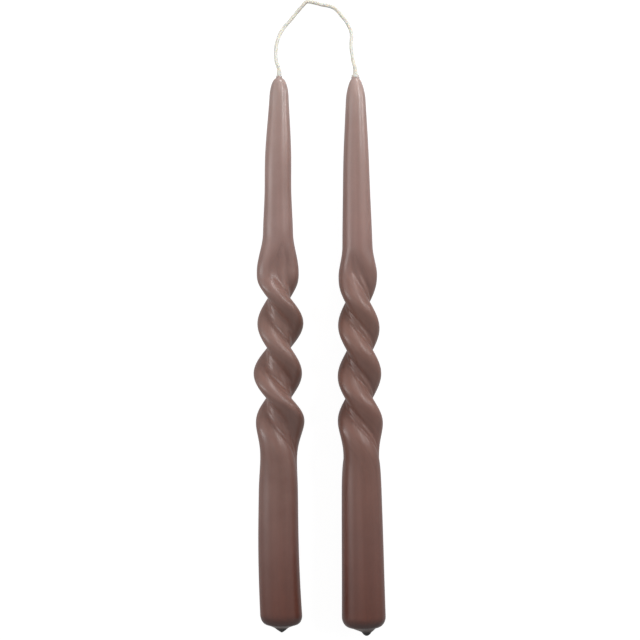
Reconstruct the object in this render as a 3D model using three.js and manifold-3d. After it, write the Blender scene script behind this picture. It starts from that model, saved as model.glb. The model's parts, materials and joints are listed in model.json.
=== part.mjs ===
// A pair of hand-dipped taper candles, rolled flat and twisted in the middle, still joined by their
// one uncut wick, lying on a table. Each candle is an undyed wax core dipped in a coat of dyed wax.
//
// Sizes are in millimetres. X runs across the pair, Y from the bases to the tips, Z up from the table.
// Stations along a candle are measured down from its mouth, where the wick leaves the wax.
import * as THREE from "three";
import { mergeVertices } from "three/addons/utils/BufferGeometryUtils.js";
import Module from "manifold-3d";

// Wick, one cord through both candles.
const WICK_WIDTH = 1.9;
const WICK_STUB = 3; // from the mouth to the point where the free wick bends
const WICK_HOLE_CLEARANCE = 0.25;
const BEND_CLEARANCE = 0.4; // between the stub's round end and the free wick
const TIP_SPACING = 40.5;

// Wax layers.
const COAT_THICKNESS = 2.2;
const LAYER_CLEARANCE = 0.3;
const NECK_WALL = 0.25; // undyed wax round the wick, at the mouth
const MOUTH_LIP = 0.3; // dyed wax round the undyed neck, at the mouth
const BASE_THICKNESS = 3; // dyed wax between the core and the cone under the base
const WICK_END_COVER = 12; // undyed wax below the wick's lower end
const CUT_OVERRUN = 1; // how far a hollow's cut runs out past the mouth

// Stretches of a candle, by their stations or lengths.
const COLLAR_HEIGHT = 1; // short straight collar round the mouth
const SHOULDER_HEIGHT = 12; // from the mouth to where the round shoulder runs into the taper
const UPPER_STATION = 40;
const MIDDLE_STATION = 62;
const TIP_BEND_LENGTH = 60; // the top stretch, which bends aside
const KICK_LENGTH = 60; // the lowest stretch, which may bend aside

// What differs between the two handmade candles. Press and twist are given by their stations.
const LEFT = {
  name: "left",
  side: -1,
  length: 295.9,
  shoulderFullness: 1.9, // 1 is a straight cone and 2 a quarter ellipse
  shoulderWidth: 10.3,
  upperWidth: 13.8,
  middleWidth: 14.3,
  aboveTwistWidth: 16,
  belowTwistWidth: 20.9,
  baseWidth: 22.4,
  neckHeight: 0.4, // undyed wax that stands out of the mouth
  pressStart: 83, // the wax is rolled flat from here, by easy degrees
  pressFull: 103,
  pressLeave: 171,
  pressEnd: 221,
  spread: 0.37, // how much wider than round the pressed wax is
  thinning: 0.31, // how much thinner
  valley: 0.09, // depth of the two valleys on each face, as a share of its height
  offCentre: 0.7, // from the candle's axis to the middle of the pressed wax
  offCentreAngle: 0, // in degrees from its wide way
  twistStart: 102.5, // the pressed wax is twisted from here, by easy degrees
  twistFull: 112,
  twistLeave: 176,
  twistEnd: 216,
  halfTurn: 26.55, // length of half a turn
  facing: -68.5, // the wide way above the twist, in degrees from straight up
  lean: -0.05, // outwards from the wick's bend, in degrees
  tipBend: 0.68, // how far the shaft lies aside of the mouth
  shift: 0.53, // how far aside the pressed stretch lies
  kick: 2.1, // how far aside the base is bent
  edgeHeight: 5, // the base's round edge, which runs into a cone with a pointed drip
  edgeInset: 3.4,
  coneHeight: 1.7,
  dripWidth: 7.9,
  dripLength: 2.8,
  dripOffset: -0.3, // from the base's middle to the drip
  dripBluntness: 0.15, // 0 is a sharp cone and 1 a half ball
  colour: 0x8f756e,
};
const RIGHT = {
  name: "right",
  side: 1,
  length: 297.6,
  shoulderFullness: 1.45,
  shoulderWidth: 10.5,
  upperWidth: 13.35,
  middleWidth: 14.6,
  aboveTwistWidth: 16.1,
  belowTwistWidth: 21.3,
  baseWidth: 23.4,
  neckHeight: 1.3,
  pressStart: 90,
  pressFull: 105.5,
  pressLeave: 174.5,
  pressEnd: 220.5,
  spread: 0.23,
  thinning: 0.245,
  valley: 0.08,
  offCentre: 0.4,
  offCentreAngle: -90,
  twistStart: 92,
  twistFull: 118,
  twistLeave: 177,
  twistEnd: 221,
  halfTurn: 25.65,
  facing: -104.5,
  lean: 0.98,
  tipBend: 0.42,
  shift: -0.05,
  kick: 0,
  edgeHeight: 5.7,
  edgeInset: 4.5,
  coneHeight: 2.6,
  dripWidth: 5.3,
  dripLength: 2.1,
  dripOffset: 1.4,
  dripBluntness: 0.57,
  colour: 0x8b706a,
};

// Facets. The step is from ring to ring where the wax is pressed or twisted.
const OUTSIDE = { sides: 24, step: 2.5 };
const INSIDE = { sides: 12, step: 4 };
const SHAFT_STEP = 17;
const TAPER_STEP = 13;
const SHOULDER_RINGS = 4;
const EDGE_RINGS = 3;
const DRIP_RINGS = 3;
const WICK_SIDES = 8;
const WICK_STEP = 23;
const WICK_TIP_RINGS = 3;
const LOOP_STEPS = 48;

// The free wick between the two tips, point by point: X and Y from the middle between the two bends
// and Z up from the table. It leaves the left tip, droops to the table, turns over there in a flat
// crown with two soft corners, and rises again to the right tip.
const LOOP_ROUTE = [
  [-20.7, 1.9, 15.1],
  [-21.8, 5.7, 13.8],
  [-22.1, 9.7, 11.9],
  [-21.9, 14.2, 9.4],
  [-21.2, 17.3, 7.6],
  [-19.9, 21.4, 5.3],
  [-17.2, 25.8, 3.2],
  [-14.3, 29.3, 2],
  [-11, 33.5, 1.3],
  [-7.8, 37.2, 1.2],
  [-5.6, 39.2, 1.2],
  [-2, 38.8, 1.2],
  [2.1, 37.7, 1.2],
  [6.3, 36.9, 1.2],
  [9.6, 35.5, 1.2],
  [12.9, 31.9, 1.3],
  [15.8, 28, 1.9],
  [18, 23.3, 3.3],
  [18.4, 19.8, 4.8],
  [18.1, 14.5, 7.2],
  [18.6, 10.1, 9.2],
  [19.1, 6.1, 10.8],
  [20, 2.3, 11.9],
];

const wickRadius = WICK_WIDTH / 2;
const holeRadius = wickRadius + WICK_HOLE_CLEARANCE;
const neckRadius = holeRadius + NECK_WALL;
const mouthRadius = neckRadius + LAYER_CLEARANCE;
const lipRadius = mouthRadius + MOUTH_LIP;

// The stations at the base, where its round edge, its cone and its drip start.
function baseStations(candle) {
  const drip = candle.length - candle.dripLength;
  const cone = drip - candle.coneHeight;
  return { edge: cone - candle.edgeHeight, cone, drip };
}

// 0 before the ramp, 1 after it and smooth between.
function ease(t) {
  const u = THREE.MathUtils.clamp(t, 0, 1);
  return u * u * (3 - 2 * u);
}

// The area under ease, so a rate that eases in gives a smooth angle.
function easedRun(t) {
  const u = THREE.MathUtils.clamp(t, 0, 1);
  return u ** 3 - u ** 4 / 2 + Math.max(t - 1, 0);
}

// A smooth value through [station, value] pairs, held level past both ends.
function through(pairs, station) {
  const last = pairs.length - 1;
  if (station <= pairs[0][0]) return pairs[0][1];
  if (station >= pairs[last][0]) return pairs[last][1];
  const i = pairs.findIndex((pair) => pair[0] > station) - 1;
  const slope = (k) => {
    const before = pairs[Math.max(k - 1, 0)];
    const after = pairs[Math.min(k + 1, last)];
    return (after[1] - before[1]) / (after[0] - before[0]);
  };
  const [start, low] = pairs[i];
  const [end, high] = pairs[i + 1];
  const span = end - start;
  const t = (station - start) / span;
  return (
    low * (1 + 2 * t) * (1 - t) ** 2 +
    slope(i) * span * t * (1 - t) ** 2 +
    high * t * t * (3 - 2 * t) +
    slope(i + 1) * span * t * t * (t - 1)
  );
}

// The dipped candle's outer radius, before it is pressed.
function dippedRadius(candle, station) {
  if (station < SHOULDER_HEIGHT) {
    const run = Math.max(station - COLLAR_HEIGHT, 0) / (SHOULDER_HEIGHT - COLLAR_HEIGHT);
    const rise = (1 - (1 - run) ** candle.shoulderFullness) ** (1 / candle.shoulderFullness);
    return lipRadius + (candle.shoulderWidth / 2 - lipRadius) * rise;
  }
  const widths = [
    [SHOULDER_HEIGHT, candle.shoulderWidth],
    [UPPER_STATION, candle.upperWidth],
    [MIDDLE_STATION, candle.middleWidth],
    [candle.pressStart, candle.aboveTwistWidth],
    [candle.pressEnd, candle.belowTwistWidth],
    [baseStations(candle).edge, candle.baseWidth],
  ];
  return through(widths, station) / 2;
}

// How far the wax is rolled flat at a station, from 0 to 1.
function pressAt(candle, station) {
  const rise = (station - candle.pressStart) / (candle.pressFull - candle.pressStart);
  const fall = (station - candle.pressLeave) / (candle.pressEnd - candle.pressLeave);
  return ease(rise) * (1 - ease(fall));
}

// How far the wax is turned at a station, in radians: a left-handed twist that eases in and out.
function turnAt(candle, station) {
  const easeIn = candle.twistFull - candle.twistStart;
  const easeOut = candle.twistEnd - candle.twistLeave;
  const run =
    easeIn * easedRun((station - candle.twistStart) / easeIn) -
    easeOut * easedRun((station - candle.twistLeave) / easeOut);
  return THREE.MathUtils.degToRad(candle.facing) + (Math.PI * run) / candle.halfTurn;
}

// The pressed section: two round edges joined by two faces, each with a soft ridge between two
// valleys. The angle runs round the section from one edge, at an even pace along its outline.
function pressedSection(angle, wide, thin, valley) {
  const flat = wide - thin;
  const quarter = flat + (Math.PI / 2) * thin;
  const turns = Math.abs(angle) / (Math.PI / 2);
  const run = quarter * (turns <= 1 ? turns : 2 - turns);
  const onEdge = run < (Math.PI / 2) * thin;
  const along = onEdge ? flat + thin * Math.cos(run / thin) : quarter - run;
  const height = onEdge ? thin * Math.sin(run / thin) : thin;
  const dip = along < flat ? Math.sin((Math.PI * along) / flat) ** 2 : 0;
  return {
    along: turns <= 1 ? along : -along,
    across: Math.sign(angle) * height * (1 - valley * dip),
  };
}

// The candle's sideways wander from a straight axis.
function wanderAt(candle, station) {
  const kicked = Math.max(station - (candle.length - KICK_LENGTH), 0) / KICK_LENGTH;
  const onCone = (station - baseStations(candle).cone) / candle.coneHeight;
  return (
    candle.shift * pressAt(candle, station) -
    candle.tipBend * ease(station / TIP_BEND_LENGTH) +
    candle.kick * kicked ** 2 +
    candle.dripOffset * ease(onCone)
  );
}

// A turned solid of wax, rolled flat and twisted as the whole candle is. The outline's points are
// [station, radius]. The origin is the bend of the wick, with the candle along -Y.
function twistedSolid(candle, outline, sides) {
  const profile = outline.map(([station, radius]) => new THREE.Vector2(radius, -station));
  const solid = new THREE.LatheGeometry(profile, sides);
  const points = solid.attributes.position;
  for (let i = 0; i < points.count; i += 1) {
    const station = -points.getY(i);
    const radius = Math.hypot(points.getX(i), points.getZ(i));
    const angle = Math.atan2(points.getX(i), points.getZ(i));
    const press = pressAt(candle, station);
    const turn = turnAt(candle, station);
    const wide = radius * (1 + candle.spread * press);
    const thin = radius * (1 - candle.thinning * press);
    const section = pressedSection(angle, wide, thin, candle.valley * press);
    const aside = turn + THREE.MathUtils.degToRad(candle.offCentreAngle);
    const x = section.along * Math.sin(turn) + section.across * Math.cos(turn);
    const z = section.along * Math.cos(turn) - section.across * Math.sin(turn);
    points.setXYZ(
      i,
      x + candle.offCentre * press * Math.sin(aside) + wanderAt(candle, station),
      -station - WICK_STUB,
      z + candle.offCentre * press * Math.cos(aside),
    );
  }
  splitShortWay(solid);
  return solid;
}

// Splits each four-sided facet of a turned solid along its shorter diagonal.
function splitShortWay(solid) {
  const index = solid.index.array;
  const corner = (i) => new THREE.Vector3().fromBufferAttribute(solid.attributes.position, i);
  for (let i = 0; i < index.length; i += 6) {
    const [a, b, d, c] = index.slice(i, i + 4);
    const across = corner(b).distanceTo(corner(d));
    if (corner(a).distanceTo(corner(c)) < across) index.set([a, b, c, a, c, d], i);
  }
}

// A plain turned solid that only follows the candle's wander, for the wick and its hole.
function straightSolid(candle, outline) {
  const profile = outline.map(([station, radius]) => new THREE.Vector2(radius, -station));
  const solid = new THREE.LatheGeometry(profile, WICK_SIDES);
  const points = solid.attributes.position;
  for (let i = 0; i < points.count; i += 1) {
    const station = -points.getY(i);
    const aside = station > 0 ? wanderAt(candle, station) : 0;
    points.setXYZ(i, points.getX(i) + aside, -station - WICK_STUB, points.getZ(i));
  }
  return solid;
}

// Evenly spaced stations from one to the other, without the last.
function spaced(from, to, step) {
  const count = Math.max(1, Math.round(Math.abs(to - from) / step));
  return Array.from({ length: count }, (_, i) => from + ((to - from) * i) / count);
}

// Points along a quarter circle, as [rise, reach] from [0, 1] to [1, 0].
function quarterRound(rings) {
  return Array.from({ length: rings + 1 }, (_, i) => {
    const angle = ((Math.PI / 2) * i) / rings;
    return [Math.sin(angle), i < rings ? Math.cos(angle) : 0];
  });
}

// The stations of the rings between the mouth and the base's round edge.
function ringStations(candle, step) {
  const formedTop = Math.min(candle.pressStart, candle.twistStart);
  const formedEnd = Math.max(candle.pressEnd, candle.twistEnd);
  const shoulder = spaced(0, 1, 1 / SHOULDER_RINGS).map((t) => t * t);
  return [
    0,
    ...shoulder.map((t) => THREE.MathUtils.lerp(COLLAR_HEIGHT, SHOULDER_HEIGHT, t)),
    ...spaced(SHOULDER_HEIGHT, formedTop, TAPER_STEP),
    ...spaced(formedTop, formedEnd, step),
    ...spaced(formedEnd, baseStations(candle).edge, SHAFT_STEP),
  ];
}

// The outside, from the drip over the cone and the round edge of the base up to the mouth.
function outsideOutline(candle) {
  const start = baseStations(candle);
  const drip = quarterRound(DRIP_RINGS).map(([rise, reach]) => [
    start.drip + candle.dripLength * rise,
    (candle.dripWidth / 2) * THREE.MathUtils.lerp(1 - rise, reach, candle.dripBluntness),
  ]);
  const edgeRadius = dippedRadius(candle, start.edge);
  const edge = quarterRound(EDGE_RINGS).map(([rise, reach]) => [
    start.edge + candle.edgeHeight * rise,
    edgeRadius - candle.edgeInset * (1 - reach),
  ]);
  const side = ringStations(candle, OUTSIDE.step).map((s) => [s, dippedRadius(candle, s)]);
  return [...drip.reverse(), ...edge.reverse(), ...side.reverse(), [0, 0]];
}

// The bottom of the coat's hollow.
function floorStation(candle) {
  return baseStations(candle).cone - BASE_THICKNESS;
}

// An inner layer, a given depth under the outside and no thinner than its neck. It runs from its
// floor up past the mouth by the neck's height.
function layerOutline(candle, floor, depth, neck, neckHeight) {
  const footRadius = dippedRadius(candle, baseStations(candle).edge) - depth;
  const side = ringStations(candle, INSIDE.step)
    .filter((s) => s < floor)
    .map((s) => [s, Math.max(neck, dippedRadius(candle, s) - depth)]);
  return [[floor, 0], [floor, footRadius], ...side.reverse(), [-neckHeight, neck], [-neckHeight, 0]];
}

// The coat's hollow, cut out through the mouth.
function hollowOutline(candle) {
  return layerOutline(candle, floorStation(candle), COAT_THICKNESS, mouthRadius, CUT_OVERRUN);
}

// The undyed core, whose neck stands a little out of the mouth.
function coreOutline(candle) {
  const floor = floorStation(candle) - LAYER_CLEARANCE;
  const depth = COAT_THICKNESS + LAYER_CLEARANCE;
  return layerOutline(candle, floor, depth, neckRadius, candle.neckHeight);
}

// The wick inside the wax ends in a round tip at the bend, where the free wick takes over.
function wickOutline(candle) {
  const bottom = floorStation(candle) - WICK_END_COVER;
  const shaft = spaced(bottom, 0, WICK_STEP).map((s) => [s, wickRadius]);
  const tip = quarterRound(WICK_TIP_RINGS).map(([rise, reach]) => [
    -WICK_STUB - wickRadius * rise,
    wickRadius * reach,
  ]);
  return [[bottom, 0], ...shaft, [0, wickRadius], ...tip];
}

// The hole that the wick leaves in the core.
function holeOutline(candle) {
  const bottom = floorStation(candle) - WICK_END_COVER + LAYER_CLEARANCE;
  const shaft = spaced(bottom, 0, WICK_STEP).map((s) => [s, holeRadius]);
  const top = -candle.neckHeight - CUT_OVERRUN;
  return [[bottom, 0], ...shaft, [0, holeRadius], [top, holeRadius], [top, 0]];
}

const wasm = await Module();
wasm.setup();

function toManifold(geometry) {
  const bare = geometry.clone();
  bare.deleteAttribute("normal");
  bare.deleteAttribute("uv");
  const merged = mergeVertices(bare);
  return new wasm.Manifold(
    new wasm.Mesh({
      numProp: 3,
      vertProperties: merged.attributes.position.array,
      triVerts: new Uint32Array(merged.index.array),
    }),
  );
}

// What is left of a solid when a hollow is cut out of it.
function cutFrom(solid, hollow) {
  const mesh = toManifold(solid).subtract(toManifold(hollow)).getMesh();
  const geometry = new THREE.BufferGeometry();
  geometry.setAttribute("position", new THREE.BufferAttribute(mesh.vertProperties, 3));
  geometry.setIndex(new THREE.BufferAttribute(mesh.triVerts, 1));
  geometry.computeVertexNormals();
  return geometry;
}

const DYED_ROUGHNESS = 0.38;
const undyedWax = { color: 0xe2cfbf, roughness: 0.45, metalness: 0 };
const cotton = { color: 0xe8e2d6, roughness: 0.8, metalness: 0 };

function part(name, geometry, look) {
  const mesh = new THREE.Mesh(geometry, new THREE.MeshStandardMaterial(look));
  mesh.name = name;
  return mesh;
}

// One candle in its own frame: a coat of dyed wax, the undyed core in it and the wick in the core.
function makeCandle(candle) {
  const outside = twistedSolid(candle, outsideOutline(candle), OUTSIDE.sides);
  const hollow = twistedSolid(candle, hollowOutline(candle), INSIDE.sides);
  const core = twistedSolid(candle, coreOutline(candle), INSIDE.sides);
  const hole = straightSolid(candle, holeOutline(candle));
  const wick = straightSolid(candle, wickOutline(candle));
  const dyedWax = { color: candle.colour, roughness: DYED_ROUGHNESS, metalness: 0 };
  const group = new THREE.Group();
  group.add(
    part(candle.name + "_wax_coat", cutFrom(outside, hollow), dyedWax),
    part(candle.name + "_wax_core", cutFrom(core, hole), undyedWax),
    part(candle.name + "_wick_core", wick, cotton),
  );
  return group;
}

// The station under which the candle's weight acts.
function weightStation(candle) {
  const stations = spaced(0, baseStations(candle).edge, OUTSIDE.step);
  const area = stations.map((s) => dippedRadius(candle, s) ** 2);
  const total = area.reduce((sum, a) => sum + a, 0);
  return stations.reduce((sum, s, i) => sum + s * area[i], 0) / total;
}

// The tilt at which a candle lies still: level along the two lowest points on either side of its
// weight, which are an edge of the twist and the rim of the base.
function restingTilt(candle, coat) {
  const points = coat.attributes.position;
  const weight = -weightStation(candle) - WICK_STUB;
  const lowest = new Map();
  for (let i = 0; i < points.count; i += 1) {
    const y = points.getY(i);
    lowest.set(y, Math.min(points.getZ(i), lowest.get(y) ?? 0));
  }
  const feet = [...lowest];
  let best = { height: Infinity, slope: 0 };
  for (const [y0, z0] of feet.filter(([y]) => y < weight)) {
    for (const [y1, z1] of feet.filter(([y]) => y >= weight)) {
      const slope = (z1 - z0) / (y1 - y0);
      const height = z0 + slope * (weight - y0);
      if (height < best.height) best = { height, slope };
    }
  }
  return -Math.atan(best.slope);
}

// Lays a candle on the table, tilted as it rests and leaning outwards from its bend.
function layDown(candle) {
  const lying = makeCandle(candle);
  lying.rotation.x = restingTilt(candle, lying.children[0].geometry);
  const leaning = new THREE.Group();
  leaning.add(lying);
  leaning.rotation.z = candle.side * THREE.MathUtils.degToRad(candle.lean);
  leaning.position.x = (candle.side * TIP_SPACING) / 2;
  leaning.position.z = -new THREE.Box3().setFromObject(leaning, true).min.z;
  return leaning;
}

// The free wick, from bend to bend.
function makeLoop(leftBend, rightBend) {
  const route = LOOP_ROUTE.map((point) => new THREE.Vector3(...point));
  const reach = wickRadius + BEND_CLEARANCE;
  const awayFrom = (bend, next) => next.clone().sub(bend).setLength(reach).add(bend);
  const curve = new THREE.CatmullRomCurve3([
    awayFrom(leftBend, route[0]),
    ...route,
    awayFrom(rightBend, route[route.length - 1]),
  ]);
  const section = new THREE.Shape(
    Array.from({ length: WICK_SIDES }, (_, i) => {
      const angle = (2 * Math.PI * i) / WICK_SIDES;
      return new THREE.Vector2(wickRadius * Math.cos(angle), wickRadius * Math.sin(angle));
    }),
  );
  return new THREE.ExtrudeGeometry(section, { steps: LOOP_STEPS, extrudePath: curve });
}

const leftCandle = layDown(LEFT);
const rightCandle = layDown(RIGHT);
const candles = new THREE.Group();
candles.add(leftCandle, rightCandle);
const loop = part("wick_loop", makeLoop(leftCandle.position, rightCandle.position), cotton);

// The origin is on the table, under the middle of the two candles.
const middle = new THREE.Box3().setFromObject(candles, true).getCenter(new THREE.Vector3());
const pair = new THREE.Group();
pair.add(candles, loop);
pair.position.set(-middle.x, -middle.y, 0);

const model = new THREE.Group();
model.add(pair);

export default model;
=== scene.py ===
"""A pair of hand-dipped, twisted taper candles, joined by their uncut wick, on a pale table.

Sizes are in metres. X runs across the pair, Y from the bases to the tips, Z up from the table.
"""

import json
import math

import bmesh
import bpy
from mathutils import Matrix, Vector, geometry, noise


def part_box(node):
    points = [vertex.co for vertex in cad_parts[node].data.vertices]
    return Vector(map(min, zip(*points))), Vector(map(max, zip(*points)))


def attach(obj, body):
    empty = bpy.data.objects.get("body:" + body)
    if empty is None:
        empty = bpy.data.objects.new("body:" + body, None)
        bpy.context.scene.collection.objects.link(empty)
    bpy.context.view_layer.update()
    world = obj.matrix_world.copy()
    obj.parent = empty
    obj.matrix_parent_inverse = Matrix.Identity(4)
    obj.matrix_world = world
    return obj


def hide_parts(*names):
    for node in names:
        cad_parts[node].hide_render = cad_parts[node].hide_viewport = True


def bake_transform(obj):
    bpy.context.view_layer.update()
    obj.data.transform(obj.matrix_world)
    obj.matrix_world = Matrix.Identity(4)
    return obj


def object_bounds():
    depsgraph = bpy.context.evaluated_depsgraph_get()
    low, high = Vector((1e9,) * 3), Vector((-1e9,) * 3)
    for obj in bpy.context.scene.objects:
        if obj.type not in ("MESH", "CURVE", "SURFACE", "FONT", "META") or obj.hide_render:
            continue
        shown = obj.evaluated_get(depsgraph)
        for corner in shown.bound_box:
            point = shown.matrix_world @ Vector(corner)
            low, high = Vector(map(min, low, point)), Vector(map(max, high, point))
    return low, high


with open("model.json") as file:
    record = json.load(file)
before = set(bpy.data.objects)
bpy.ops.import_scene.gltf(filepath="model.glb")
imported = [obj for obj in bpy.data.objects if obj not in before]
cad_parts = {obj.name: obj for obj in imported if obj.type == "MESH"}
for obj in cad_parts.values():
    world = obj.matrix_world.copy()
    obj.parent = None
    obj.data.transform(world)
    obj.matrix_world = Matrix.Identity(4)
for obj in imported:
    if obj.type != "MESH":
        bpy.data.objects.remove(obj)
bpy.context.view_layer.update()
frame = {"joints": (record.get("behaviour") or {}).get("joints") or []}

# The camera hangs a little under a metre above the table and looks straight down, with the tips of
# the candles at the top of the picture.
PICTURE_WIDTH = 0.3409  # what the picture takes in at the height of the candles' middles
PICTURE_CENTRE = (0.0001, 0.01757)
MIDDLE_HEIGHT = 0.012
LENS = 100  # in millimetres, like the sensor
SENSOR = 36

view = bpy.data.cameras.new("camera")
view.lens = LENS
view.sensor_width = SENSOR
camera = bpy.data.objects.new("camera", view)
camera.location = (*PICTURE_CENTRE, MIDDLE_HEIGHT + PICTURE_WIDTH * LENS / SENSOR)
bpy.context.scene.collection.objects.link(camera)
bpy.context.scene.camera = camera
bpy.context.scene.view_settings.view_transform = "Standard"

# The free wick is the middle of one uncut length of braided cotton, primed with wax, whose ends are
# dipped into the two candles. It bends softly at each mouth, droops to the table and turns over
# there in a flat crown.
WICK_WIDTH = 0.0019
WICK_STUB = 0.003  # from the mouth of the wax to the middle of the bend
WICK_ROOT = 0.005  # how far down in the wax a bend's piece starts
BEND_REACH = 0.002  # how far past the middle of the bend it ends
WICK_STEP = 0.0003  # from ring to ring
WICK_SIDES = 32
PLAIT_STRANDS = 4
PLAIT_PITCH = 0.0056
PLAIT_DEPTH = 0.085  # as a share of the wick's radius
PLAIT_LEVEL = 0.8  # where that radius lies between the strands' hollows at -1 and their crowns at 1
UNEVENNESS = 0.05  # as a share of the radius
UNEVEN_LENGTH = 0.006  # from one thick place to the next, more or less
FIBRE_DEPTH = 0.00012
WAX_NECKS = {"left": 0.0004, "right": 0.0013}  # undyed wax that stands out of each mouth
MENISCUS = 0.0005  # how far the top of that neck climbs on up the wick
FOOT_HEIGHT = 0.0042  # wax creeps this far up the wick from each neck
FOOT_START = 0.0003  # and it starts this far below the neck's edge
FOOT_SWELL = 0.36  # as a share of the wick's radius
SIDES = {"left": -1, "right": 1}
LEAN = {"left": -0.05, "right": 0.98}  # outwards from the bend, in degrees
CURVE_POINTS = 40  # between two points of a route

# X and Y from the middle between the two bends and Z up from the table.
LOOP_ROUTE = [
    (-0.0207, 0.0019, 0.0151),
    (-0.0218, 0.0057, 0.0138),
    (-0.0221, 0.0097, 0.0119),
    (-0.0219, 0.0142, 0.0094),
    (-0.0212, 0.0173, 0.0076),
    (-0.0199, 0.0214, 0.0053),
    (-0.0172, 0.0258, 0.0032),
    (-0.0143, 0.0293, 0.0020),
    (-0.0110, 0.0335, 0.0013),
    (-0.0078, 0.0372, 0.0012),
    (-0.0056, 0.0392, 0.0012),
    (-0.0020, 0.0388, 0.0012),
    (0.0021, 0.0377, 0.0012),
    (0.0063, 0.0369, 0.0012),
    (0.0096, 0.0355, 0.0012),
    (0.0129, 0.0319, 0.0013),
    (0.0158, 0.0280, 0.0019),
    (0.0180, 0.0233, 0.0033),
    (0.0184, 0.0198, 0.0048),
    (0.0181, 0.0145, 0.0072),
    (0.0186, 0.0101, 0.0092),
    (0.0191, 0.0061, 0.0108),
    (0.0200, 0.0023, 0.0119),
]

wick_radius = WICK_WIDTH / 2
bends = {side: Vector(joint["pos_m"]) for side, joint in zip(SIDES, frame["joints"])}


def lying(side):
    """How a candle lies: it takes the candle's own frame, with its origin at the bend and the wax
    along -Y, to its place on the table. The tilt is read off the lower end of the wick in it."""
    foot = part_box(side + "_wick_core")[0]
    drop = bends[side].z - foot.z - wick_radius
    tilt = math.atan2(drop, bends[side].y - foot.y)
    lean = SIDES[side] * math.radians(LEAN[side])
    place = Matrix.Translation(bends[side])
    return place @ Matrix.Rotation(lean, 4, "Z") @ Matrix.Rotation(tilt, 4, "X")


def smooth_line(points, step):
    """Evenly spaced points on a smooth curve through the given ones."""
    fine = []
    last = len(points) - 1
    for i in range(last):
        before, after = points[max(i - 1, 0)], points[min(i + 2, last)]
        pull = (points[i + 1] - before) / 6
        push = (after - points[i]) / 6
        fine += geometry.interpolate_bezier(
            points[i], points[i] + pull, points[i + 1] - push, points[i + 1], CURVE_POINTS
        )[:-1]
    fine.append(points[last])
    lengths = [0.0]
    for a, b in zip(fine, fine[1:]):
        lengths.append(lengths[-1] + (b - a).length)
    count = round(lengths[-1] / step)
    line = []
    k = 0
    for i in range(count + 1):
        wanted = lengths[-1] * i / count
        while k < len(fine) - 2 and lengths[k + 1] < wanted:
            k += 1
        share = (wanted - lengths[k]) / (lengths[k + 1] - lengths[k])
        line.append(fine[k].lerp(fine[k + 1], share))
    return line


def rings_along(line):
    """A (centre, across, up) for each point of a line, turned as little as it can be."""
    across = Vector((0, 0, 1)).cross(line[1] - line[0]).normalized()
    rings = []
    for i, centre in enumerate(line):
        along = (line[min(i + 1, len(line) - 1)] - line[max(i - 1, 0)]).normalized()
        across = (across - along * across.dot(along)).normalized()
        rings.append((centre, across, along.cross(across)))
    return rings


def new_piece(name, bm, material):
    """An object from a finished mesh, with smooth faces."""
    mesh = bpy.data.meshes.new(name)
    bm.to_mesh(mesh)
    bm.free()
    mesh.shade_smooth()
    mesh.materials.append(material)
    piece = bpy.data.objects.new(name, mesh)
    bpy.context.scene.collection.objects.link(piece)
    return piece


def ease(t):
    """0 before the ramp, 1 after it and smooth between."""
    u = min(max(t, 0), 1)
    return u * u * (3 - 2 * u)


def waxed_foot(from_end, neck):
    """How thick the wax is that crept up the wick, from 1 just above the candle's neck to 0."""
    past = from_end - WICK_ROOT - neck
    return ease(1 - past / FOOT_HEIGHT if past > 0 else 1 + past / FOOT_START)


def plaited_radius(along, angle):
    """The wick's radius: two sets of strands that cross over each other, pulled a little uneven."""
    turn = 2 * math.pi * along / PLAIT_PITCH
    one = math.cos(PLAIT_STRANDS * angle + turn)
    other = math.cos(PLAIT_STRANDS * angle - turn + math.pi)
    plait = PLAIT_DEPTH * (max(one, other) - PLAIT_LEVEL) / 2
    swell = noise.noise(Vector((along / UNEVEN_LENGTH, 0, 0)))
    return wick_radius * (1 + plait + UNEVENNESS * swell)


def wick_piece(name, rings, first, last, material, feet=False):
    """The wick's tube from one ring to another, closed at both ends. Its map holds the length along
    the wick, at one WICK_STEP to the ring, and the share of the way round."""
    length = (len(rings) - 1) * WICK_STEP
    bm = bmesh.new()
    layer = bm.loops.layers.uv.new("along_and_round")
    bmesh.ops.create_grid(
        bm, x_segments=last - first, y_segments=WICK_SIDES, size=1, calc_uvs=True
    )
    for vert in bm.verts:
        i = first + round((vert.co.x + 1) / 2 * (last - first))
        angle = math.pi * (vert.co.y + 1)
        centre, across, up = rings[i]
        outwards = across * math.cos(angle) + up * math.sin(angle)
        radius = plaited_radius(i * WICK_STEP, angle)
        if feet:
            foot = waxed_foot(i * WICK_STEP, WAX_NECKS["left"])
            foot += waxed_foot(length - i * WICK_STEP, WAX_NECKS["right"])
            radius *= 1 + FOOT_SWELL * foot
        vert.co = centre + outwards * radius
    for face in bm.faces:
        for loop in face.loops:
            loop[layer].uv.x = (first + loop[layer].uv.x * (last - first)) * WICK_STEP
    bmesh.ops.remove_doubles(bm, verts=bm.verts, dist=WICK_STEP / 30)
    bmesh.ops.holes_fill(bm, edges=[edge for edge in bm.edges if edge.is_boundary])
    bmesh.ops.recalc_face_normals(bm, faces=bm.faces)
    return new_piece(name, bm, material)


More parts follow.
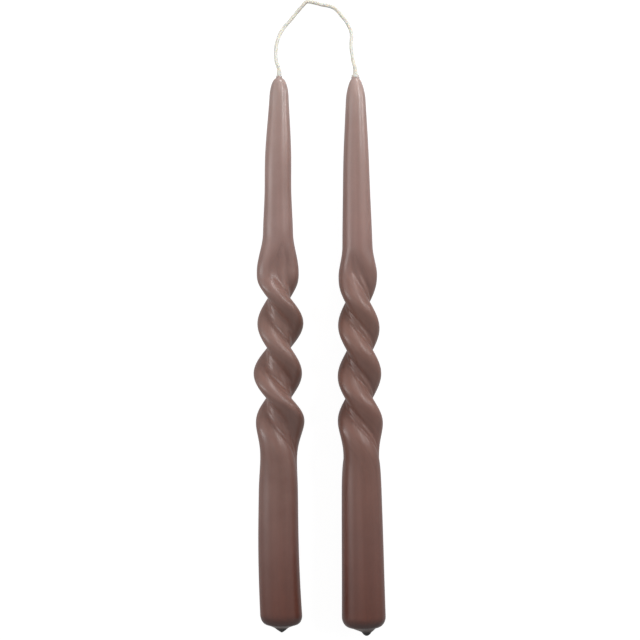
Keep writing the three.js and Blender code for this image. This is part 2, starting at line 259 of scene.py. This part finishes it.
class Value:
    """A socket in a material, for use in sums. A sum on values adds its Math nodes, and any other
    node comes from node(): its type, its settings, its sockets and which output is wanted."""

    def __init__(self, tree, socket=None):
        self.tree = tree
        self.socket = socket

    def node(self, kind, settings=(), sockets=(), output=0):
        made = self.tree.nodes.new("ShaderNode" + kind)
        for name, value in dict(settings).items():
            if name == "stops":
                elements = made.color_ramp.elements
                while len(elements) < len(value):
                    elements.new(1.0)
                for stop, (place, colour) in zip(elements, value):
                    stop.position = place
                    stop.color = colour
            else:
                setattr(made, name, value)
        for name, value in dict(sockets).items():
            if isinstance(value, Value):
                self.tree.links.new(value.socket, made.inputs[name])
            else:
                made.inputs[name].default_value = value
        return Value(self.tree, made.outputs[output])

    def math(self, operation, first, second=0.0):
        return self.node("Math", {"operation": operation}, {0: first, 1: second})

    def __add__(self, other):
        return self.math("ADD", self, other)

    def __radd__(self, other):
        return self.math("ADD", other, self)

    def __sub__(self, other):
        return self.math("SUBTRACT", self, other)

    def __rsub__(self, other):
        return self.math("SUBTRACT", other, self)

    def __mul__(self, other):
        return self.math("MULTIPLY", self, other)

    def __rmul__(self, other):
        return self.math("MULTIPLY", other, self)

    def cosine(self):
        return self.math("COSINE", self)

    def larger(self, other):
        return self.math("MAXIMUM", self, other)

    def ramp(self, low, high):
        """0 at the low value, 1 at the high one and smooth between."""
        settings = {"interpolation_type": "SMOOTHSTEP"}
        return self.node("MapRange", settings, {"Value": self, "From Min": low, "From Max": high})

    def shades(self, stops):
        """A run of colours through (value, colour) stops, of which the first value is 0."""
        last = stops[-1][0]
        shares = [(value / last, colour) for value, colour in stops]
        return self.node("ValToRGB", {"stops": shares}, {"Fac": self * (1 / last)})

    def part(self, axis):
        """One of a vector's three numbers."""
        return self.node("SeparateXYZ", (), {0: self}, axis)

    def scaled(self, factors):
        """A vector with each of its numbers multiplied."""
        return self.node("VectorMath", {"operation": "MULTIPLY"}, {0: self, 1: factors})

    def stronger(self, factor):
        """A vector or a colour multiplied by one value."""
        return self.node("VectorMath", {"operation": "SCALE"}, {0: self, "Scale": factor})

    def noise(self, scale, detail=2.0):
        """Soft clouds from 0 to 1 at this place in space."""
        return self.node("TexNoise", (), {"Vector": self, "Scale": scale, "Detail": detail})

    def mix(self, first, second):
        """The first colour where this is 0 and the second where it is 1."""
        settings = {"data_type": "RGBA"}
        return self.node("Mix", settings, {"Factor": self, 6: first, 7: second}, 2)

    def bump(self, depth):
        """A normal for this height, from 0 to 1, over so many metres."""
        return self.node("Bump", (), {"Height": self, "Distance": depth, "Strength": 1.0})


def new_material(name):
    material = bpy.data.materials.new(name)
    material.use_nodes = True
    material.node_tree.nodes.clear()
    return material, Value(material.node_tree)


def finish(surface):
    """Joins a shader to the material's output."""
    output = surface.tree.nodes.new("ShaderNodeOutputMaterial")
    surface.tree.links.new(surface.socket, output.inputs["Surface"])


def cotton():
    """Waxed cotton: off-white strands, shaded hollows between them and patches with more wax."""
    material, paint = new_material("waxed_cotton")
    spread = paint.node("UVMap", {"uv_map": "along_and_round"})
    along, round_it = spread.part(0), spread.part(1)
    turn = along * (2 * math.pi / PLAIT_PITCH)
    strands = round_it * (2 * math.pi * PLAIT_STRANDS)
    one = (strands + turn).cosine()
    other = (strands - turn + math.pi).cosine()
    crown = one.larger(other).ramp(-0.2, 1.0)
    fibres = spread.scaled((900.0, 30.0, 1.0)).noise(1.0, 3.0)
    waxed = spread.scaled((160.0, 0.8, 1.0)).noise(1.0).ramp(0.38, 0.62)
    dry = (crown * 0.7 + fibres * 0.3).mix((0.81, 0.78, 0.69, 1), (0.90, 0.88, 0.81, 1))
    soaked = (crown * 0.6 + fibres * 0.4).mix((0.83, 0.79, 0.68, 1), (0.90, 0.86, 0.76, 1))
    finish(
        paint.node(
            "BsdfPrincipled",
            (),
            {
                "Base Color": waxed.mix(dry, soaked),
                "Roughness": 0.72 - waxed * 0.24,
                "Normal": (crown * 0.5 + fibres * 0.5).bump(FIBRE_DEPTH),
                "Subsurface Weight": 0.5,
                "Subsurface Radius": (0.0012, 0.0010, 0.0008),
                "Subsurface Scale": 1.0,
            },
        )
    )
    return material


lies = {side: lying(side) for side in SIDES}
middle = (bends["left"] + bends["right"]) / 2
route = [Vector((middle.x + x, middle.y + y, z)) for x, y, z in LOOP_ROUTE]
root = {side: lies[side] @ Vector((0, -WICK_STUB - WICK_ROOT, 0)) for side in SIDES}
mouth = {side: lies[side] @ Vector((0, -WICK_STUB, 0)) for side in SIDES}
wick_line = smooth_line(
    [root["left"], mouth["left"], bends["left"]]
    + route
    + [bends["right"], mouth["right"], root["right"]],
    WICK_STEP,
)
wick_rings = rings_along(wick_line)
end_rings = round((WICK_ROOT + WICK_STUB + BEND_REACH) / WICK_STEP)
last_ring = len(wick_line) - 1
waxed_cotton = cotton()

wick_loop = wick_piece(
    "free_wick_loop", wick_rings, end_rings, last_ring - end_rings, waxed_cotton
)
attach(wick_loop, "free_wick")
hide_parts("wick_loop")

wick_bends = {
    "left": wick_piece("left_wick_bend", wick_rings, 0, end_rings, waxed_cotton, feet=True),
    "right": wick_piece(
        "right_wick_bend", wick_rings, last_ring - end_rings, last_ring, waxed_cotton, feet=True
    ),
}
for side, ring in (("left", end_rings), ("right", last_ring - end_rings)):
    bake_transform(wick_bends[side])

# The coats are the dyed wax that the candles were last dipped in. Each was rolled flat while it was
# warm and twisted to the left, and it ends in a cone with a drip, where the last wax ran off.
# A station, here and below, is how far down the candle a place lies from the mouth.
CANDLES = {
    "left": {
        "length": 0.2959,
        "shoulder_fullness": 1.9,  # 1 is a straight cone and 2 a quarter ellipse
        "shoulder_width": 0.0103,
        "upper_width": 0.0138,
        "middle_width": 0.0143,
        "above_twist_width": 0.0160,
        "below_twist_width": 0.0209,
        "base_width": 0.0224,
        "press": (0.0830, 0.1030, 0.1710, 0.2210),  # starts, is full, leaves and ends
        "spread": 0.37,  # how much wider than round the pressed wax is
        "thinning": 0.31,  # how much thinner
        "valley": 0.09,  # depth of the two valleys on each face, as a share of its height
        "off_centre": 0.0007,  # from the candle's axis to the middle of the pressed wax
        "off_centre_angle": 0,
        "twist": (0.1025, 0.1120, 0.1760, 0.2160),  # starts, is full, leaves and ends
        "half_turn": 0.02655,
        "facing": -68.5,  # the wide way above the twist, in degrees from straight up
        "tip_bend": 0.00068,  # how far the shaft lies aside of the mouth
        "shift": 0.00053,  # how far aside the pressed stretch lies
        "kick": 0.0021,  # how far aside the base is bent
        "edge_height": 0.0050,  # the base's round edge, which runs into a cone
        "edge_inset": 0.0034,
        "cone_height": 0.0017,
        "drip_width": 0.0079,
        "drip_length": 0.0028,
        "drip_offset": -0.0003,
        "drip_bluntness": 0.15,  # 0 is a sharp cone and 1 a half ball
        "lip_width": 0.0032,
        "neck_width": 0.0027,
    },
    "right": {
        "length": 0.2976,
        "shoulder_fullness": 1.45,
        "shoulder_width": 0.0105,
        "upper_width": 0.01335,
        "middle_width": 0.0146,
        "above_twist_width": 0.0161,
        "below_twist_width": 0.0213,
        "base_width": 0.0234,
        "press": (0.0900, 0.1055, 0.1745, 0.2205),
        "spread": 0.23,
        "thinning": 0.245,
        "valley": 0.08,
        "off_centre": 0.0004,
        "off_centre_angle": -90,
        "twist": (0.0920, 0.1180, 0.1770, 0.2210),
        "half_turn": 0.02565,
        "facing": -104.5,
        "tip_bend": 0.00042,
        "shift": -0.00005,
        "kick": 0.0,
        "edge_height": 0.0057,
        "edge_inset": 0.0045,
        "cone_height": 0.0026,
        "drip_width": 0.0053,
        "drip_length": 0.0021,
        "drip_offset": 0.0014,
        "drip_bluntness": 0.57,
        "lip_width": 0.0043,
        "neck_width": 0.0040,
    },
}
COAT_THICKNESS = 0.0022
COLLAR_HEIGHT = 0.001  # a short straight collar round the mouth
SHOULDER_HEIGHT = 0.012
UPPER_STATION = 0.040
MIDDLE_STATION = 0.062
TIP_BEND_LENGTH = 0.060
KICK_LENGTH = 0.060
BASE_THICKNESS = 0.003  # of the dyed wax between the hollow and the cone
NECK_CLEARANCE = 0.00004  # between the undyed neck and the coat's lip
COAT_SIDES = 96
COAT_STEP = 0.0009  # from ring to ring
HOLLOW_STEP = 0.004
DRIP_RINGS = 14
CONE_RINGS = 8
EDGE_RINGS = 16
LIP_RINGS = 8
SAME_PLACE = 0.000002  # points that lie closer than this are one
HAND_SWELL = 0.006  # how uneven the dipped wax is, as a share of its radius
SWELLS_ACROSS = 40  # how many swellings there are to the metre
SWELLS_ALONG = 28
SWELLS_APART = 7  # so that the two candles swell in different places
WAX_GRAIN = 0.00003  # the depth of the wax's fine unevenness
WAX_IOR = 1.45

# Where the dyed wax changes its look, from and to: heights over the drip's end, then stations.
# painted shade on the base's round edge
BASE_EDGE_SHADE_HEIGHTS = (0.0120, 0.0065)
# painted reflection on the cone
CONE_REFLECTION_HEIGHTS = (0.0048, 0.0038)
DRIP_HEIGHTS = (0.0040, 0.0018)
# painted sheen over the left candle
LEFT_SHEEN_STATIONS = (0.285, 0.205)
HANDLED_STATIONS = (0.060, 0.015)


def eased_run(t):
    """The area under ease, so that a rate that eases in gives a smooth angle."""
    u = min(max(t, 0), 1)
    return u**3 - u**4 / 2 + max(t - 1, 0)


def through(pairs, station):
    """A smooth value through (station, value) pairs, held level past both ends."""
    last = len(pairs) - 1
    if station <= pairs[0][0]:
        return pairs[0][1]
    if station >= pairs[last][0]:
        return pairs[last][1]
    i = max(k for k in range(last) if pairs[k][0] <= station)

    def slope(k):
        before, after = pairs[max(k - 1, 0)], pairs[min(k + 1, last)]
        return (after[1] - before[1]) / (after[0] - before[0])

    span = pairs[i + 1][0] - pairs[i][0]
    t = (station - pairs[i][0]) / span
    return (
        pairs[i][1] * (1 + 2 * t) * (1 - t) ** 2
        + slope(i) * span * t * (1 - t) ** 2
        + pairs[i + 1][1] * t * t * (3 - 2 * t)
        + slope(i + 1) * span * t * t * (t - 1)
    )


def base_stations(candle):
    """Where the base's round edge, its cone and its drip start."""
    drip = candle["length"] - candle["drip_length"]
    cone = drip - candle["cone_height"]
    return cone - candle["edge_height"], cone, drip


def dipped_radius(candle, station):
    """The outer radius before the candle is pressed."""
    shoulder, lip = candle["shoulder_width"] / 2, candle["lip_width"] / 2
    if station < SHOULDER_HEIGHT:
        short = 1 - max(station - COLLAR_HEIGHT, 0) / (SHOULDER_HEIGHT - COLLAR_HEIGHT)
        fullness = candle["shoulder_fullness"]
        rise = (1 - short**fullness) ** (1 / fullness)
        return lip + (shoulder - lip) * rise
    widths = [
        (SHOULDER_HEIGHT, candle["shoulder_width"]),
        (UPPER_STATION, candle["upper_width"]),
        (MIDDLE_STATION, candle["middle_width"]),
        (candle["press"][0], candle["above_twist_width"]),
        (candle["press"][3], candle["below_twist_width"]),
        (base_stations(candle)[0], candle["base_width"]),
    ]
    return through(widths, station) / 2


def press_at(candle, station):
    """How far the wax is rolled flat, from 0 to 1."""
    start, full, leave, end = candle["press"]
    return ease((station - start) / (full - start)) * (1 - ease((station - leave) / (end - leave)))


def turn_at(candle, station):
    """How far the wax is turned, in radians: a left-handed twist that eases in and out."""
    start, full, leave, end = candle["twist"]
    ease_in, ease_out = full - start, end - leave
    run = ease_in * eased_run((station - start) / ease_in)
    run -= ease_out * eased_run((station - leave) / ease_out)
    return math.radians(candle["facing"]) + math.pi * run / candle["half_turn"]


def pressed_section(angle, wide, thin, valley):
    """A point of the pressed section: two round edges joined by two faces, each with a soft ridge
    between two valleys. The angle runs round from one edge, at an even pace along the outline."""
    flat = wide - thin
    bent = math.pi / 2 * thin
    turns = abs(angle) / (math.pi / 2)
    run = (flat + bent) * (turns if turns <= 1 else 2 - turns)
    if run < bent:
        along, height = flat + thin * math.cos(run / thin), thin * math.sin(run / thin)
    else:
        along, height = flat + bent - run, thin
    dip = math.sin(math.pi * along / flat) ** 2 if along < flat else 0
    across = math.copysign(height * (1 - valley * dip), angle)
    return (along if turns <= 1 else -along), across


def wander(candle, station):
    """The candle's sideways wander from a straight axis."""
    kicked = max(station - (candle["length"] - KICK_LENGTH), 0) / KICK_LENGTH
    on_cone = (station - base_stations(candle)[1]) / candle["cone_height"]
    aside = candle["shift"] * press_at(candle, station) + candle["kick"] * kicked**2
    aside -= candle["tip_bend"] * ease(station / TIP_BEND_LENGTH)
    return aside + candle["drip_offset"] * ease(on_cone)


def spaced(start, end, step):
    """Evenly spaced stations, without the last."""
    count = max(1, round(abs(end - start) / step))
    return [start + (end - start) * i / count for i in range(count)]


def shoulder_stations(first, step):
    """Stations from near the mouth to just above the shoulder's end, closest near the mouth."""
    return [SHOULDER_HEIGHT * t * t for t in spaced(first, 1, step)]


def quarter_round(rings):
    """Points along a quarter circle, as (rise, reach) from (0, 1) to (1, 0)."""
    angles = [math.pi / 2 * i / rings for i in range(rings)]
    return [(math.sin(angle), math.cos(angle)) for angle in angles] + [(1.0, 0.0)]


def formed(piece_name, side, outline, sides, material):
    """A turned solid of wax from its (station, radius) outline, rolled flat, twisted and laid down
    as the whole candle is. Its dipped attribute keeps the place that each point had before that,
    and its above_drip attribute the height over the drip's end."""
    candle = CANDLES[side]
    bm = bmesh.new()
    verts = [bm.verts.new((0, -station, radius)) for station, radius in outline]
    edges = [bm.edges.new(pair) for pair in zip(verts, verts[1:])]
    bmesh.ops.spin(
        bm,
        geom=verts + edges,
        cent=(0, 0, 0),
        axis=(0, 1, 0),
        angle=2 * math.pi,
        steps=sides,
        use_merge=True,
    )
    bmesh.ops.remove_doubles(bm, verts=bm.verts, dist=SAME_PLACE)
    bmesh.ops.recalc_face_normals(bm, faces=bm.faces)
    dipped = bm.verts.layers.float_vector.new("dipped")
    above_drip = bm.verts.layers.float.new("above_drip")
    apart = Vector((SIDES[side], 0, 0))  # so that the two candles aren't marked alike
    aside_angle = math.radians(candle["off_centre_angle"])
    for vert in bm.verts:
        vert[dipped] = vert.co + apart
        station = -vert.co.y
        vert[above_drip] = candle["length"] - station
        swells = Vector(
            (vert.co.x * SWELLS_ACROSS, station * SWELLS_ALONG, vert.co.z * SWELLS_ACROSS)
        )
        swell = noise.noise(swells + apart * SWELLS_APART)
        radius = math.hypot(vert.co.x, vert.co.z) * (1 + HAND_SWELL * swell)
        press, turn = press_at(candle, station), turn_at(candle, station)
        along, across = pressed_section(
            math.atan2(vert.co.x, vert.co.z),
            radius * (1 + candle["spread"] * press),
            radius * (1 - candle["thinning"] * press),
            candle["valley"] * press,
        )
        aside = candle["off_centre"] * press
        vert.co = lies[side] @ Vector(
            (
                along * math.sin(turn)
                + across * math.cos(turn)
                + aside * math.sin(turn + aside_angle)
                + wander(candle, station),
                -station - WICK_STUB,
                along * math.cos(turn)
                - across * math.sin(turn)
                + aside * math.cos(turn + aside_angle),
            )
        )
    piece = new_piece(side + piece_name, bm, material)
    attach(piece, side + "_candle")
    return piece


def layer_outline(candle, floor, depth, neck, step):
    """An inner layer, a given depth under the outside and no thinner than its neck, from the middle
    of its floor up to just under the mouth."""
    edge = base_stations(candle)[0]
    foot = dipped_radius(candle, edge) - depth
    stations = shoulder_stations(0.1, 0.06) + spaced(SHOULDER_HEIGHT, edge, step)
    wall = [(s, max(neck, dipped_radius(candle, s) - depth)) for s in stations]
    return [(floor, 0), (floor, foot)] + wall[::-1]


def coat_outline(candle):
    """Up the outside from the drip's tip to the rounded lip of the mouth, and down the hollow."""
    edge, cone, drip = base_stations(candle)
    drip_radius, blunt = candle["drip_width"] / 2, candle["drip_bluntness"]
    outside = [
        (
            drip + candle["drip_length"] * rise,
            drip_radius * ((1 - blunt) * (1 - rise) + blunt * reach),
        )
        for rise, reach in quarter_round(DRIP_RINGS)[::-1]
    ]
    edge_radius = dipped_radius(candle, edge)
    inset, cone_height = candle["edge_inset"], candle["cone_height"]
    cone_radius = edge_radius - inset
    for t in spaced(1, 0, 1 / CONE_RINGS)[1:]:
        outside.append((cone + cone_height * t, cone_radius + (drip_radius - cone_radius) * t))
    outside += [
        (edge + candle["edge_height"] * rise, edge_radius - inset * (1 - reach))
        for rise, reach in quarter_round(EDGE_RINGS)[::-1]
    ]
    stations = shoulder_stations(0.06, 0.04) + spaced(SHOULDER_HEIGHT, edge, COAT_STEP)
    outside += [(s, dipped_radius(candle, s)) for s in stations[::-1]]
    lip = dipped_radius(candle, stations[0])
    inner = candle["neck_width"] / 2 + NECK_CLEARANCE
    half, rim = (lip + inner) / 2, (lip - inner) / 2
    for i in range(1, LIP_RINGS):
        angle = math.pi * i / LIP_RINGS
        outside.append((-rim * math.sin(angle), half + rim * math.cos(angle)))
    floor = cone - BASE_THICKNESS
    hollow = layer_outline(candle, floor, COAT_THICKNESS, inner, HOLLOW_STEP)
    return outside + hollow[::-1]


def dyed_wax():
    """Dusty mauve-brown wax: clouded by the dips, streaked lengthwise by the runs of wax, paler
    towards the tip and darker towards the base. That run of colour is in part the wax's own tone
    and in part painted light: the fall of the light from the tips' end and a painted sheen near the
    tips. Painted shade darkens the base's round edge, a painted reflection makes the cone a little
    greyer, and the drip's end is nearly black. A pale painted sheen lies over the left candle, and
    the tips are shinier where they were handled."""
    material, paint = new_material("dyed_wax")
    place = paint.node("Attribute", {"attribute_name": "dipped"}, output="Vector")
    above_drip = paint.node("Attribute", {"attribute_name": "above_drip"}, output="Fac")
    clouds = place.noise(55.0, 3.0).ramp(0.3, 0.7)
    streaks = place.scaled((1.0, 0.04, 1.0)).noise(260.0).ramp(0.3, 0.7)
    bloom = place.noise(1400.0, 4.0).ramp(0.35, 0.75)
    station = place.part(1) * -1.0
    # The colours by station are in part painted light: they fall from the tips' end towards the
    # bases as the light does, and the palest stop paints the sheen near the tips.
    wax = station.shades(
        [
            (0.000, (0.480, 0.345, 0.308, 1)),
            (0.025, (0.405, 0.258, 0.225, 1)),
            (0.085, (0.325, 0.191, 0.166, 1)),
            (0.125, (0.234, 0.121, 0.094, 1)),
            (0.215, (0.214, 0.101, 0.079, 1)),
            (0.250, (0.184, 0.078, 0.060, 1)),
            (0.300, (0.112, 0.027, 0.013, 1)),
        ]
    )
    tone = clouds * 0.10 + streaks * 0.12 + bloom * 0.04
    wax = wax.stronger(tone + 0.87)
    # Painted sheen: a mottled pale veil over the left candle, down to near its base, where the
    # light from the left falls.
    left_sheen = place.part(0).ramp(0.5, -0.5) * station.ramp(*LEFT_SHEEN_STATIONS)
    left_sheen = left_sheen * (0.03 + clouds * 0.07)
    wax = left_sheen.mix(wax, (0.42, 0.36, 0.34, 1))
    # Painted shade: the base's round edge, which turns away from the lights, is coloured a mottled
    # dark red.
    base_edge_shade = above_drip.ramp(*BASE_EDGE_SHADE_HEIGHTS) * (0.6 + clouds * 0.4)
    wax = base_edge_shade.mix(wax, (0.040, 0.010, 0.007, 1))
    # Painted reflection: the cone is coloured a greyer brown, as of the pale table seen in its
    # gloss.
    wax = above_drip.ramp(*CONE_REFLECTION_HEIGHTS).mix(wax, (0.105, 0.058, 0.049, 1))
    # The drip's last millimetres are coloured nearly black and made rougher.
    blackened_drip = above_drip.ramp(*DRIP_HEIGHTS)
    wax = blackened_drip.mix(wax, (0.005, 0.004, 0.004, 1))
    grain = clouds * 0.6 + streaks * 0.15 + bloom * 0.25
    handled = station.ramp(*HANDLED_STATIONS)
    roughness = 0.32 - handled * 0.04 + clouds * 0.04 + bloom * 0.05 + blackened_drip * 0.3
    finish(
        paint.node(
            "BsdfPrincipled",
            (),
            {
                "Base Color": wax,
                "Roughness": roughness,
                "Normal": grain.bump(WAX_GRAIN),
                "IOR": WAX_IOR,
                "Coat Weight": handled * 0.25,
                "Coat Roughness": 0.16,
                "Subsurface Weight": 0.12,
                "Subsurface Radius": (0.0018, 0.0009, 0.0006),
                "Subsurface Scale": 1.0,
            },
        )
    )
    return material


mauve_wax = dyed_wax()
for side, candle in CANDLES.items():
    outline = coat_outline(candle)
    coat = formed("_dyed_coat", side, outline, COAT_SIDES, mauve_wax)
    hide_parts(side + "_wax_coat")

# The cores are the undyed wax that was dipped first, round the wick. All that shows of them is the
# thin neck that stands out of each mouth and creeps a little way up the wick.
LAYER_CLEARANCE = 0.0003  # between the core and the coat
CORE_SIDES = 64
CORE_STEP = 0.003  # from ring to ring
NECK_RINGS = 8
NECK_ROUNDING = 0.00012  # how far the neck's outer edge is rounded off
WICK_END_COVER = 0.012  # the undyed wax under the wick's lower end
WICK_SEAT = 0.00002  # the gap between the wick and the wax round it


def core_floor(candle):
    """The station of the core's floor, just above the dyed wax of the base."""
    return base_stations(candle)[1] - BASE_THICKNESS - LAYER_CLEARANCE


def core_outline(candle, neck_height):
    """Up the outside to the neck, over its hollow top to the wick, and down the wick's hole."""
    floor = core_floor(candle)
    depth = COAT_THICKNESS + LAYER_CLEARANCE
    neck = candle["neck_width"] / 2
    outside = layer_outline(candle, floor, depth, neck, CORE_STEP)
    hole, top = wick_radius + WICK_SEAT, -neck_height
    outside.append((top / 2, neck))
    for i in range(NECK_RINGS + 1):
        t = i / NECK_RINGS
        radius = neck + (hole - neck) * t
        outside.append((top - MENISCUS * t**3 + NECK_ROUNDING * (1 - t) ** 4, radius))
    bottom = floor - WICK_END_COVER
    hole_stations = spaced(0, bottom, CORE_STEP * 2)
    return outside + [(s, hole) for s in hole_stations] + [(bottom, hole), (bottom, 0)]


def undyed_wax():
    """Off-white wax, a little pink from the dye beside it."""
    material, paint = new_material("undyed_wax")
    place = paint.node("Attribute", {"attribute_name": "dipped"}, output="Vector")
    clouds = place.noise(900.0, 3.0).ramp(0.3, 0.7)
    finish(
        paint.node(
            "BsdfPrincipled",
            (),
            {
                "Base Color": clouds.mix((0.80, 0.71, 0.66, 1), (0.90, 0.84, 0.79, 1)),
                "Roughness": 0.38 + clouds * 0.1,
                "Normal": clouds.bump(WAX_GRAIN),
                "IOR": WAX_IOR,
                "Subsurface Weight": 0.35,
                "Subsurface Radius": (0.002, 0.0013, 0.001),
                "Subsurface Scale": 1.0,
            },
        )
    )
    return material


pale_wax = undyed_wax()
for side, candle in CANDLES.items():
    outline = core_outline(candle, WAX_NECKS[side])
    core = formed("_undyed_core", side, outline, CORE_SIDES, pale_wax)
    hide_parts(side + "_wax_core")

# Inside each core the wick runs down the middle of the candle, and it ends a little above the base,
# where it was cut before the first dip.
INNER_ROUTE_STEP = 0.012
INNER_WICK_STEP = WICK_STEP * 4  # from ring to ring, which draws the hidden plait out as well

for side, candle in CANDLES.items():
    wick_end = core_floor(candle) - WICK_END_COVER
    inner_stations = spaced(wick_end, WICK_ROOT, INNER_ROUTE_STEP) + [WICK_ROOT]
    inner_route = [
        lies[side] @ Vector((wander(candle, s), -s - WICK_STUB, 0)) for s in inner_stations
    ]
    inner_line = smooth_line(inner_route, INNER_WICK_STEP)
    wick_core = wick_piece(
        side + "_inner_wick", rings_along(inner_line), 0, len(inner_line) - 1, waxed_cotton
    )
    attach(wick_core, side + "_candle")
    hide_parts(side + "_wick_core")

# The table is a plain pale surface under the pair. It looks white to the camera, and it keeps the
# soft shadow that the candles and the wick cast on it.
TABLE_REACH = 2.0
TABLE_GLOW = 0.94  # the light that it adds to what the lamps give it, where 1 is white
TABLE_IN_GLOSS = 0.5  # how much of that shows in the wax's gloss


def pale_surface():
    """A matt surface that looks white to the eye, and about half as bright in the wax's gloss."""
    material, paint = new_material("pale_table")
    seen = paint.node("LightPath", output="Is Camera Ray")
    mirrored = paint.node("LightPath", output="Is Glossy Ray")
    cleared = paint.node("LightPath", output="Is Transmission Ray")
    shown = seen.larger(mirrored * TABLE_IN_GLOSS).larger(cleared)
    matt = paint.node("BsdfDiffuse", (), {"Color": (0.22, 0.22, 0.22, 1)})
    glow = paint.node("Emission", (), {"Color": (1, 1, 1, 1), "Strength": shown * TABLE_GLOW})
    finish(paint.node("AddShader", (), {0: matt, 1: glow}))
    return material


bm = bmesh.new()
bmesh.ops.create_grid(bm, x_segments=1, y_segments=1, size=TABLE_REACH)
bmesh.ops.translate(bm, verts=bm.verts, vec=(0, 0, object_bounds()[0].z))
table_mesh = bpy.data.meshes.new("table")
bm.to_mesh(table_mesh)
bm.free()
table_mesh.materials.append(pale_surface())
table = bpy.data.objects.new("table", table_mesh)
bpy.context.scene.collection.objects.link(table)

# The light is that of a small studio. Low soft boxes at the left, at the right and past the tips
# draw long pale lights down the wax, a higher one at the right lights the twist, and a near one on
# the left veils the wax with a soft sheen.
SOFT_BOXES = {
    # name: (place, width, length, share of the light)
    "right_key": ((0.62, 0.47, 0.60), 0.16, 0.42, 0.30),
    "near_left": ((-0.34, 0.16, 0.26), 0.30, 0.24, 0.12),
    "low_tips": ((0.29, 0.92, 0.28), 0.30, 0.30, 0.33),
    "low_right": ((0.88, 0.36, 0.17), 0.50, 0.20, 0.18),
    "low_left": ((-0.97, 0.04, 0.17), 0.90, 0.20, 0.50),
    "over_left": ((-0.30, 0.04, 0.95), 0.60, 0.50, 0.08),
    "over_tips": ((0.10, 0.60, 0.75), 0.40, 0.30, 0.05),
}
FILL = 0.13  # the even light from all round, where 1 is white
FULL_WHITE = 9.87  # watts that light white to full white from a metre away

for name, (place, width, length, share) in SOFT_BOXES.items():
    lamp = bpy.data.lights.new(name, "AREA")
    lamp.shape = "RECTANGLE"
    lamp.size = width
    lamp.size_y = length
    back = Vector(place)
    lamp.energy = FULL_WHITE * share * back.length_squared
    box = bpy.data.objects.new(name, lamp)
    across = Vector((0, 1, 0)).cross(back).normalized()
    up = back.cross(across).normalized()
    turned = Matrix((across, up, back.normalized())).transposed().to_4x4()
    box.matrix_world = Matrix.Translation(back) @ turned
    bpy.context.scene.collection.objects.link(box)

# The room is plain white to the camera, in the wax's gloss and through clear things, and it gives
# the pair only a weak even light.
world = bpy.data.worlds.new("studio")
bpy.context.scene.world = world
world.use_nodes = True
world.node_tree.nodes.clear()
sky = Value(world.node_tree)
seen = sky.node("LightPath", output="Is Camera Ray")
mirrored = sky.node("LightPath", output="Is Glossy Ray")
cleared = sky.node("LightPath", output="Is Transmission Ray")
white_share = seen.larger(mirrored).larger(cleared)
strength = white_share * (1 - FILL) + FILL
backdrop = sky.node("Background", (), {"Color": (1, 1, 1, 1), "Strength": strength})
sky_output = world.node_tree.nodes.new("ShaderNodeOutputWorld")
world.node_tree.links.new(backdrop.socket, sky_output.inputs["Surface"])
